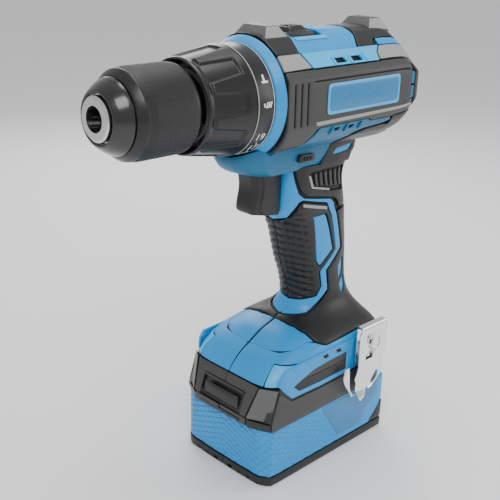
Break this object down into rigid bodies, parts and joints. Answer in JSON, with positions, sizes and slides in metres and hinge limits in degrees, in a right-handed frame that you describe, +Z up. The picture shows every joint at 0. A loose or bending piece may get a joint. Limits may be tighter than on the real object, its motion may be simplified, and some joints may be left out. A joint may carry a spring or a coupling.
{
  "type": "cordless drill",
  "caption": "Cordless hammer drill with keyless chuck, torque collar, two-speed gearbox, trigger grip and slide-on battery pack.",
  "frame": {"origin": "centre of the flat face under the battery, on which the drill stands", "axes": "+Z up from the rest face, -X the way the chuck points along the spindle, -Y the side with the belt clip"},
  "size_m": [0.2195, 0.0836, 0.268],
  "materials": {
    "blue_plastic": "satin moulded bright blue",
    "black_plastic": "satin moulded black",
    "grey_rubber": "soft dark grey overmould",
    "black_rubber": "soft black overmould, ribbed",
    "chuck_black": "glossy black chuck shell",
    "steel": "ground steel",
    "bright_steel": "bright nickel-plated steel",
    "gear_steel": "sintered steel",
    "gearbox_grey": "glass-filled nylon",
    "copper": "copper",
    "magnet": "ferrite",
    "clear_lens": "clear moulded window",
    "plate_blue": "plain blue name plate",
    "cell_wrap": "shrink-wrapped cells"
  },
  "bodies": {
    "housing": {"housing_left": "blue_plastic", "housing_right": "blue_plastic", "rear_cover": "blue_plastic", "side_panel_left": "grey_rubber", "side_panel_right": "grey_rubber", "name_plates": "plate_blue", "front_bumper": "grey_rubber", "rear_bumper": "grey_rubber", "collar_ring": "blue_plastic", "front_grip": "black_rubber", "rear_grip": "black_rubber", "housing_screws": "steel", "led_window": "clear_lens", "switch_body": "black_plastic", "terminal_block": "black_plastic", "belt_clip": "bright_steel", "belt_clip_screw": "bright_steel", "motor_can": "steel", "motor_magnets": "magnet", "motor_end_plate": "gearbox_grey", "motor_bearings": "steel", "gearbox_case": "gearbox_grey", "front_ring_gear": "gear_steel", "spindle_bearing": "steel", "hammer_ratchet": "steel"},
    "rotor": {"rotor_shaft": "steel", "rotor_core": "steel", "commutator": "copper", "motor_pinion": "gear_steel", "cooling_fan": "black_plastic"},
    "rear_carrier": {"rear_carrier": "gear_steel"},
    "rear_planet_1": {"rear_planet_gear_1": "gear_steel"},
    "rear_planet_2": {"rear_planet_gear_2": "gear_steel"},
    "rear_planet_3": {"rear_planet_gear_3": "gear_steel"},
    "spindle": {"spindle": "steel", "front_carrier": "gear_steel", "chuck_body": "steel", "chuck_nose": "chuck_black"},
    "front_planet_1": {"front_planet_gear_1": "gear_steel"},
    "front_planet_2": {"front_planet_gear_2": "gear_steel"},
    "front_planet_3": {"front_planet_gear_3": "gear_steel"},
    "chuck_sleeve": {"chuck_sleeve": "chuck_black", "chuck_nut": "gear_steel"},
    "jaw_1": {"chuck_jaw_1": "bright_steel"},
    "jaw_2": {"chuck_jaw_2": "bright_steel"},
    "jaw_3": {"chuck_jaw_3": "bright_steel"},
    "torque_collar": {"torque_collar": "black_plastic"},
    "clutch_nut": {"clutch_nut": "gearbox_grey", "clutch_spring": "steel"},
    "gear_selector": {"gear_selector": "black_plastic", "shift_ring_gear": "gear_steel"},
    "trigger": {"trigger": "black_plastic", "trigger_spring": "steel"},
    "direction_lever": {"direction_lever": "black_plastic"},
    "battery": {"battery_case": "blue_plastic", "battery_base": "black_plastic", "battery_bumper": "grey_rubber", "battery_cells": "cell_wrap", "battery_contacts": "copper"},
    "latch_button": {"latch_button": "black_plastic"}
  },
  "joints": [
    {"name": "chuck_spin", "type": "hinge", "parent": "housing", "child": "spindle", "pos_m": [-0.051, 0, 0.23], "axis": [1, 0, 0], "continuous": true},
    {"name": "rear_carrier_spin", "type": "hinge", "parent": "housing", "child": "rear_carrier", "pos_m": [-0.026, 0, 0.23], "axis": [1, 0, 0], "continuous": true},
    {"name": "motor_spin", "type": "hinge", "parent": "housing", "child": "rotor", "pos_m": [0.009, 0, 0.23], "axis": [1, 0, 0], "continuous": true},
    {"name": "front_planet_spin_1", "type": "hinge", "parent": "spindle", "child": "front_planet_1", "pos_m": [-0.036, 0, 0.2432], "axis": [1, 0, 0], "continuous": true},
    {"name": "rear_planet_spin_1", "type": "hinge", "parent": "rear_carrier", "child": "rear_planet_1", "pos_m": [-0.018, 0, 0.242], "axis": [1, 0, 0], "continuous": true},
    {"name": "front_planet_spin_2", "type": "hinge", "parent": "spindle", "child": "front_planet_2", "pos_m": [-0.036, -0.01143, 0.2234], "axis": [1, 0, 0], "continuous": true},
    {"name": "rear_planet_spin_2", "type": "hinge", "parent": "rear_carrier", "child": "rear_planet_2", "pos_m": [-0.018, -0.01039, 0.224], "axis": [1, 0, 0], "continuous": true},
    {"name": "front_planet_spin_3", "type": "hinge", "parent": "spindle", "child": "front_planet_3", "pos_m": [-0.036, 0.01143, 0.2234], "axis": [1, 0, 0], "continuous": true},
    {"name": "rear_planet_spin_3", "type": "hinge", "parent": "rear_carrier", "child": "rear_planet_3", "pos_m": [-0.018, 0.01039, 0.224], "axis": [1, 0, 0], "continuous": true},
    {"name": "chuck_sleeve_turn", "type": "hinge", "parent": "spindle", "child": "chuck_sleeve", "pos_m": [-0.111, 0, 0.23], "axis": [1, 0, 0], "range_deg": [0, 1800]},
    {"name": "jaw_slide_1", "type": "slide", "parent": "spindle", "child": "jaw_1", "axis": [-0.9563, 0, -0.2924], "range_m": [0, 0.018]},
    {"name": "jaw_slide_2", "type": "slide", "parent": "spindle", "child": "jaw_2", "axis": [-0.9563, 0.2532, 0.1462], "range_m": [0, 0.018]},
    {"name": "jaw_slide_3", "type": "slide", "parent": "spindle", "child": "jaw_3", "axis": [-0.9563, -0.2532, 0.1462], "range_m": [0, 0.018]},
    {"name": "torque_collar_turn", "type": "hinge", "parent": "housing", "child": "torque_collar", "pos_m": [-0.071, 0, 0.23], "axis": [1, 0, 0], "range_deg": [-277, 0]},
    {"name": "clutch_nut_slide", "type": "slide", "parent": "housing", "child": "clutch_nut", "axis": [1, 0, 0], "range_m": [-0.006, 0], "deforming": ["clutch_spring"]},
    {"name": "gear_selector_slide", "type": "slide", "parent": "housing", "child": "gear_selector", "axis": [-1, 0, 0], "range_m": [0, 0.006]},
    {"name": "trigger_pull", "type": "slide", "parent": "housing", "child": "trigger", "axis": [1, 0, 0], "range_m": [0, 0.007], "stiffness_N_per_m": 600, "springref_m": -0.003, "deforming": ["trigger_spring"]},
    {"name": "direction_lever_slide", "type": "slide", "parent": "housing", "child": "direction_lever", "axis": [0, 1, 0], "range_m": [-0.0025, 0.0025]},
    {"name": "battery_slide", "type": "slide", "parent": "housing", "child": "battery", "axis": [-1, 0, 0], "range_m": [0, 0.115]},
    {"name": "battery_latch_press", "type": "slide", "parent": "battery", "child": "latch_button", "axis": [0, 0, -1], "range_m": [0, 0.004], "stiffness_N_per_m": 800, "springref_m": -0.002}
  ],
  "couplings": [
    {"joint": "rear_carrier_spin", "follows": "chuck_spin", "ratio": 3.6667},
    {"joint": "motor_spin", "follows": "chuck_spin", "ratio": 18.333},
    {"joint": "front_planet_spin_1", "follows": "chuck_spin", "ratio": -3.2},
    {"joint": "rear_planet_spin_1", "follows": "chuck_spin", "ratio": -9.7778},
    {"joint": "front_planet_spin_2", "follows": "chuck_spin", "ratio": -3.2},
    {"joint": "rear_planet_spin_2", "follows": "chuck_spin", "ratio": -9.7778},
    {"joint": "front_planet_spin_3", "follows": "chuck_spin", "ratio": -3.2},
    {"joint": "rear_planet_spin_3", "follows": "chuck_spin", "ratio": -9.7778},
    {"joint": "jaw_slide_1", "follows": "chuck_sleeve_turn", "m_per_rad": 0.00057296},
    {"joint": "jaw_slide_2", "follows": "chuck_sleeve_turn", "m_per_rad": 0.00057296},
    {"joint": "jaw_slide_3", "follows": "chuck_sleeve_turn", "m_per_rad": 0.00057296},
    {"joint": "clutch_nut_slide", "follows": "torque_collar_turn", "m_per_rad": 0.0012411}
  ]
}
